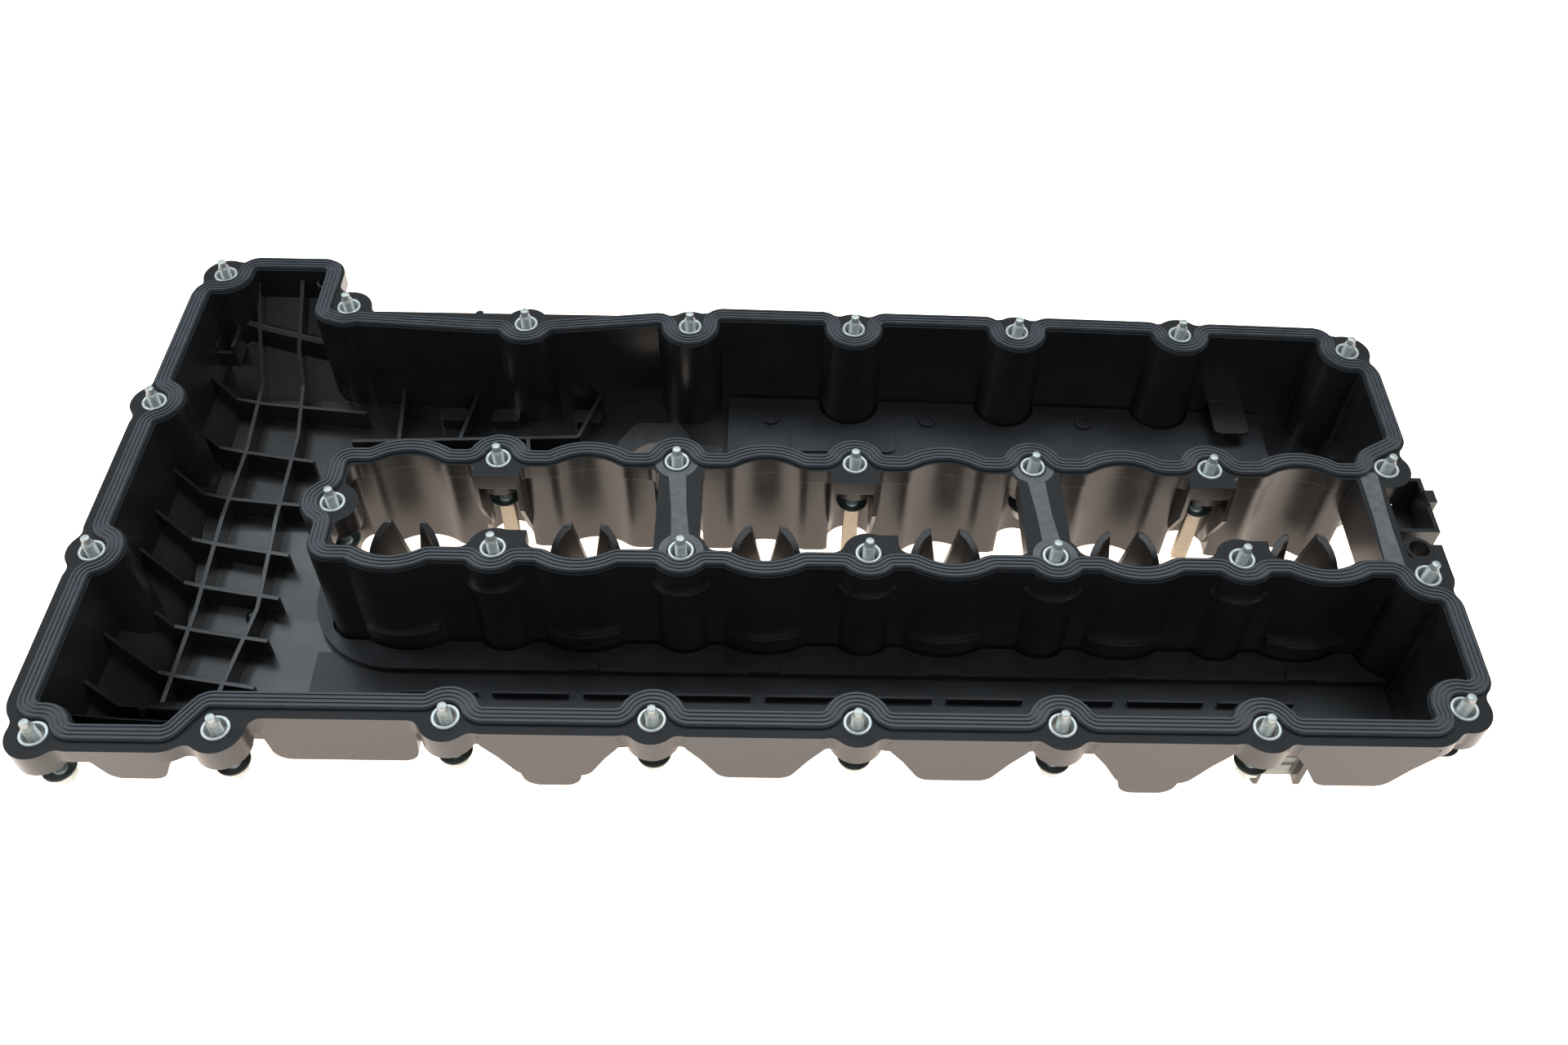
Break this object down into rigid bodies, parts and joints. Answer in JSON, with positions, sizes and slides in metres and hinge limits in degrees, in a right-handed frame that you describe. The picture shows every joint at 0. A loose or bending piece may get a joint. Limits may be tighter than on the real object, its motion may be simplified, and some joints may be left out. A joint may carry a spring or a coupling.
{
  "type": "engine valve cover",
  "caption": "Moulded plastic valve cover for an inline engine, with spark plug valley, one-piece rubber gasket and captive hanging bolts, lying gasket side up.",
  "frame": {"origin": "middle of the cover's footprint, on the surface that its crown rests on", "axes": "+X along the crankshaft towards the open end of the spark plug valley, +Y towards the far rail, +Z out of the gasket face"},
  "size_m": [0.6749, 0.331, 0.086],
  "materials": {
    "cover_plastic": "moulded, fine satin",
    "tray_plastic": "moulded, satin",
    "seal_rubber": "ridged, matte",
    "zinc_steel": "zinc plated",
    "clip_steel": "grey-green phosphate"
  },
  "bodies": {
    "cover": {"cover_shell": "cover_plastic", "gasket": "seal_rubber", "separator_tray": "tray_plastic", "drain_tray": "tray_plastic", "sleeves": "zinc_steel", "retaining_clip": "clip_steel"},
    "bolt_far_rail_1": {"bolt_far_rail_1": "zinc_steel"},
    "bolt_far_rail_2": {"bolt_far_rail_2": "zinc_steel"},
    "bolt_far_rail_3": {"bolt_far_rail_3": "zinc_steel"},
    "bolt_far_rail_4": {"bolt_far_rail_4": "zinc_steel"},
    "bolt_far_rail_5": {"bolt_far_rail_5": "zinc_steel"},
    "bolt_near_rail_1": {"bolt_near_rail_1": "zinc_steel"},
    "bolt_near_rail_2": {"bolt_near_rail_2": "zinc_steel"},
    "bolt_near_rail_3": {"bolt_near_rail_3": "zinc_steel"},
    "bolt_near_rail_4": {"bolt_near_rail_4": "zinc_steel"},
    "bolt_near_rail_5": {"bolt_near_rail_5": "zinc_steel"},
    "bolt_open_far_corner": {"bolt_open_far_corner": "zinc_steel"},
    "bolt_open_near_corner": {"bolt_open_near_corner": "zinc_steel"},
    "bolt_open_valley_far": {"bolt_open_valley_far": "zinc_steel"},
    "bolt_open_valley_near": {"bolt_open_valley_near": "zinc_steel"},
    "bolt_timing_far_corner": {"bolt_timing_far_corner": "zinc_steel"},
    "bolt_timing_far_end": {"bolt_timing_far_end": "zinc_steel"},
    "bolt_timing_far_step": {"bolt_timing_far_step": "zinc_steel"},
    "bolt_timing_near_corner": {"bolt_timing_near_corner": "zinc_steel"},
    "bolt_timing_near_end": {"bolt_timing_near_end": "zinc_steel"},
    "bolt_timing_near_step": {"bolt_timing_near_step": "zinc_steel"},
    "bolt_valley_far_1": {"bolt_valley_far_1": "zinc_steel"},
    "bolt_valley_far_2": {"bolt_valley_far_2": "zinc_steel"},
    "bolt_valley_far_3": {"bolt_valley_far_3": "zinc_steel"},
    "bolt_valley_far_4": {"bolt_valley_far_4": "zinc_steel"},
    "bolt_valley_far_5": {"bolt_valley_far_5": "zinc_steel"},
    "bolt_valley_near_1": {"bolt_valley_near_1": "zinc_steel"},
    "bolt_valley_near_2": {"bolt_valley_near_2": "zinc_steel"},
    "bolt_valley_near_3": {"bolt_valley_near_3": "zinc_steel"},
    "bolt_valley_near_4": {"bolt_valley_near_4": "zinc_steel"},
    "bolt_valley_near_5": {"bolt_valley_near_5": "zinc_steel"},
    "bolt_valley_nose": {"bolt_valley_nose": "zinc_steel"}
  },
  "joints": [
    {"name": "bolt_far_rail_1_slide", "type": "slide", "parent": "cover", "child": "bolt_far_rail_1", "axis": [0, 0, 1], "range_m": [0, 0.013]},
    {"name": "bolt_far_rail_2_slide", "type": "slide", "parent": "cover", "child": "bolt_far_rail_2", "axis": [0, 0, 1], "range_m": [0, 0.013]},
    {"name": "bolt_far_rail_3_slide", "type": "slide", "parent": "cover", "child": "bolt_far_rail_3", "axis": [0, 0, 1], "range_m": [0, 0.013]},
    {"name": "bolt_far_rail_4_slide", "type": "slide", "parent": "cover", "child": "bolt_far_rail_4", "axis": [0, 0, 1], "range_m": [0, 0.013]},
    {"name": "bolt_far_rail_5_slide", "type": "slide", "parent": "cover", "child": "bolt_far_rail_5", "axis": [0, 0, 1], "range_m": [0, 0.013]},
    {"name": "bolt_near_rail_1_slide", "type": "slide", "parent": "cover", "child": "bolt_near_rail_1", "axis": [0, 0, 1], "range_m": [0, 0.013]},
    {"name": "bolt_near_rail_2_slide", "type": "slide", "parent": "cover", "child": "bolt_near_rail_2", "axis": [0, 0, 1], "range_m": [0, 0.013]},
    {"name": "bolt_near_rail_3_slide", "type": "slide", "parent": "cover", "child": "bolt_near_rail_3", "axis": [0, 0, 1], "range_m": [0, 0.013]},
    {"name": "bolt_near_rail_4_slide", "type": "slide", "parent": "cover", "child": "bolt_near_rail_4", "axis": [0, 0, 1], "range_m": [0, 0.013]},
    {"name": "bolt_near_rail_5_slide", "type": "slide", "parent": "cover", "child": "bolt_near_rail_5", "axis": [0, 0, 1], "range_m": [0, 0.013]},
    {"name": "bolt_open_far_corner_slide", "type": "slide", "parent": "cover", "child": "bolt_open_far_corner", "axis": [0, 0, 1], "range_m": [0, 0.013]},
    {"name": "bolt_open_near_corner_slide", "type": "slide", "parent": "cover", "child": "bolt_open_near_corner", "axis": [0, 0, 1], "range_m": [0, 0.013]},
    {"name": "bolt_open_valley_far_slide", "type": "slide", "parent": "cover", "child": "bolt_open_valley_far", "axis": [0, 0, 1], "range_m": [0, 0.013]},
    {"name": "bolt_open_valley_near_slide", "type": "slide", "parent": "cover", "child": "bolt_open_valley_near", "axis": [0, 0, 1], "range_m": [0, 0.013]},
    {"name": "bolt_timing_far_corner_slide", "type": "slide", "parent": "cover", "child": "bolt_timing_far_corner", "axis": [0, 0, 1], "range_m": [0, 0.013]},
    {"name": "bolt_timing_far_end_slide", "type": "slide", "parent": "cover", "child": "bolt_timing_far_end", "axis": [0, 0, 1], "range_m": [0, 0.013]},
    {"name": "bolt_timing_far_step_slide", "type": "slide", "parent": "cover", "child": "bolt_timing_far_step", "axis": [0, 0, 1], "range_m": [0, 0.013]},
    {"name": "bolt_timing_near_corner_slide", "type": "slide", "parent": "cover", "child": "bolt_timing_near_corner", "axis": [0, 0, 1], "range_m": [0, 0.013]},
    {"name": "bolt_timing_near_end_slide", "type": "slide", "parent": "cover", "child": "bolt_timing_near_end", "axis": [0, 0, 1], "range_m": [0, 0.013]},
    {"name": "bolt_timing_near_step_slide", "type": "slide", "parent": "cover", "child": "bolt_timing_near_step", "axis": [0, 0, 1], "range_m": [0, 0.013]},
    {"name": "bolt_valley_far_1_slide", "type": "slide", "parent": "cover", "child": "bolt_valley_far_1", "axis": [0, 0, 1], "range_m": [0, 0.013]},
    {"name": "bolt_valley_far_2_slide", "type": "slide", "parent": "cover", "child": "bolt_valley_far_2", "axis": [0, 0, 1], "range_m": [0, 0.013]},
    {"name": "bolt_valley_far_3_slide", "type": "slide", "parent": "cover", "child": "bolt_valley_far_3", "axis": [0, 0, 1], "range_m": [0, 0.013]},
    {"name": "bolt_valley_far_4_slide", "type": "slide", "parent": "cover", "child": "bolt_valley_far_4", "axis": [0, 0, 1], "range_m": [0, 0.013]},
    {"name": "bolt_valley_far_5_slide", "type": "slide", "parent": "cover", "child": "bolt_valley_far_5", "axis": [0, 0, 1], "range_m": [0, 0.013]},
    {"name": "bolt_valley_near_1_slide", "type": "slide", "parent": "cover", "child": "bolt_valley_near_1", "axis": [0, 0, 1], "range_m": [0, 0.013]},
    {"name": "bolt_valley_near_2_slide", "type": "slide", "parent": "cover", "child": "bolt_valley_near_2", "axis": [0, 0, 1], "range_m": [0, 0.013]},
    {"name": "bolt_valley_near_3_slide", "type": "slide", "parent": "cover", "child": "bolt_valley_near_3", "axis": [0, 0, 1], "range_m": [0, 0.013]},
    {"name": "bolt_valley_near_4_slide", "type": "slide", "parent": "cover", "child": "bolt_valley_near_4", "axis": [0, 0, 1], "range_m": [0, 0.013]},
    {"name": "bolt_valley_near_5_slide", "type": "slide", "parent": "cover", "child": "bolt_valley_near_5", "axis": [0, 0, 1], "range_m": [0, 0.013]},
    {"name": "bolt_valley_nose_slide", "type": "slide", "parent": "cover", "child": "bolt_valley_nose", "axis": [0, 0, 1], "range_m": [0, 0.013]}
  ]
}
